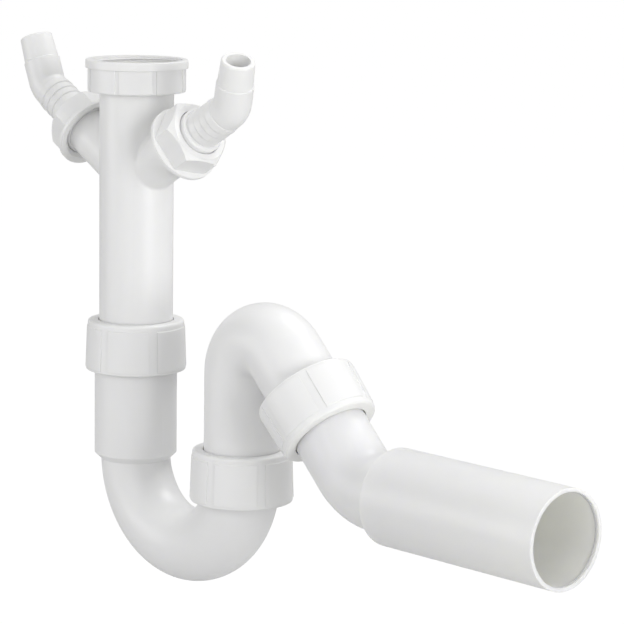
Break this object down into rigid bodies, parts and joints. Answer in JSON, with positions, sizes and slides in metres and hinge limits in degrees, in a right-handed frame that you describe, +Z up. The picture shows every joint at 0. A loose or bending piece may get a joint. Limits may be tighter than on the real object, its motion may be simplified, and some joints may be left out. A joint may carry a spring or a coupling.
{
  "type": "sink waste trap",
  "caption": "Sink waste trap: threaded inlet nut, angled hose nozzles on a telescopic tube, U bend, swivelling gooseneck and a bent outlet pipe, joined by ribbed slip nuts.",
  "frame": {"origin": "centre of the inlet nut's top rim, on the inlet axis", "axes": "+Z up along the inlet tube, +X along the outlet pipe, away from the inlet; every pipe axis lies in the XZ plane"},
  "size_m": [0.4106, 0.0552, 0.2872],
  "materials": {
    "white_plastic": "satin moulded polypropylene",
    "seal_rubber": "soft pale seal rubber"
  },
  "bodies": {
    "inlet": {"inlet_tube": "white_plastic", "inlet_washer": "seal_rubber"},
    "inlet_nut": {"inlet_nut": "white_plastic"},
    "left_branch_nut": {"left_branch_nut": "white_plastic"},
    "right_branch_nut": {"right_branch_nut": "white_plastic"},
    "left_nozzle": {"left_hose_nozzle": "white_plastic", "left_branch_seal": "seal_rubber"},
    "right_nozzle": {"right_hose_nozzle": "white_plastic", "right_branch_seal": "seal_rubber"},
    "slip_seal": {"inlet_slip_seal": "seal_rubber"},
    "u_bend": {"u_bend": "white_plastic"},
    "inlet_slip_nut": {"inlet_slip_nut": "white_plastic"},
    "trap_nut": {"trap_nut": "white_plastic"},
    "gooseneck": {"gooseneck": "white_plastic", "trap_seal": "seal_rubber"},
    "outlet_nut": {"outlet_nut": "white_plastic"},
    "outlet_bend": {"outlet_bend": "white_plastic", "outlet_seal": "seal_rubber"}
  },
  "joints": [
    {"name": "inlet_nut_turn", "type": "hinge", "parent": "inlet", "child": "inlet_nut", "pos_m": [0, 0, 0], "axis": [0, 0, 1], "continuous": true},
    {"name": "left_branch_nut_turn", "type": "hinge", "parent": "inlet", "child": "left_branch_nut", "pos_m": [0, 0, -0.0645], "axis": [-0.866, 0, 0.5], "continuous": true},
    {"name": "right_branch_nut_turn", "type": "hinge", "parent": "inlet", "child": "right_branch_nut", "pos_m": [0, 0, -0.0645], "axis": [0.866, 0, 0.5], "continuous": true},
    {"name": "left_nozzle_swivel", "type": "hinge", "parent": "inlet", "child": "left_nozzle", "pos_m": [0, 0, -0.0645], "axis": [-0.866, 0, 0.5], "continuous": true},
    {"name": "right_nozzle_swivel", "type": "hinge", "parent": "inlet", "child": "right_nozzle", "pos_m": [0, 0, -0.0645], "axis": [0.866, 0, 0.5], "continuous": true},
    {"name": "trap_height_slide", "type": "slide", "parent": "inlet", "child": "slip_seal", "axis": [0, 0, 1], "range_m": [-0.03, 0.02]},
    {"name": "u_bend_swivel", "type": "hinge", "parent": "slip_seal", "child": "u_bend", "pos_m": [0, 0, -0.1486], "axis": [0, 0, 1], "continuous": true},
    {"name": "inlet_slip_nut_turn", "type": "hinge", "parent": "u_bend", "child": "inlet_slip_nut", "pos_m": [0, 0, -0.1486], "axis": [0, 0, 1], "continuous": true},
    {"name": "trap_nut_turn", "type": "hinge", "parent": "u_bend", "child": "trap_nut", "pos_m": [0.087, 0, -0.2061], "axis": [0, 0, 1], "continuous": true},
    {"name": "gooseneck_swivel", "type": "hinge", "parent": "u_bend", "child": "gooseneck", "pos_m": [0.087, 0, -0.2061], "axis": [0, 0, 1], "range_deg": [-135, 135]},
    {"name": "outlet_nut_turn", "type": "hinge", "parent": "gooseneck", "child": "outlet_nut", "pos_m": [0.11978, 0, -0.14422], "axis": [0.7071, 0, -0.7071], "continuous": true},
    {"name": "outlet_bend_swivel", "type": "hinge", "parent": "gooseneck", "child": "outlet_bend", "pos_m": [0.11978, 0, -0.14422], "axis": [0.7071, 0, -0.7071], "continuous": true}
  ]
}
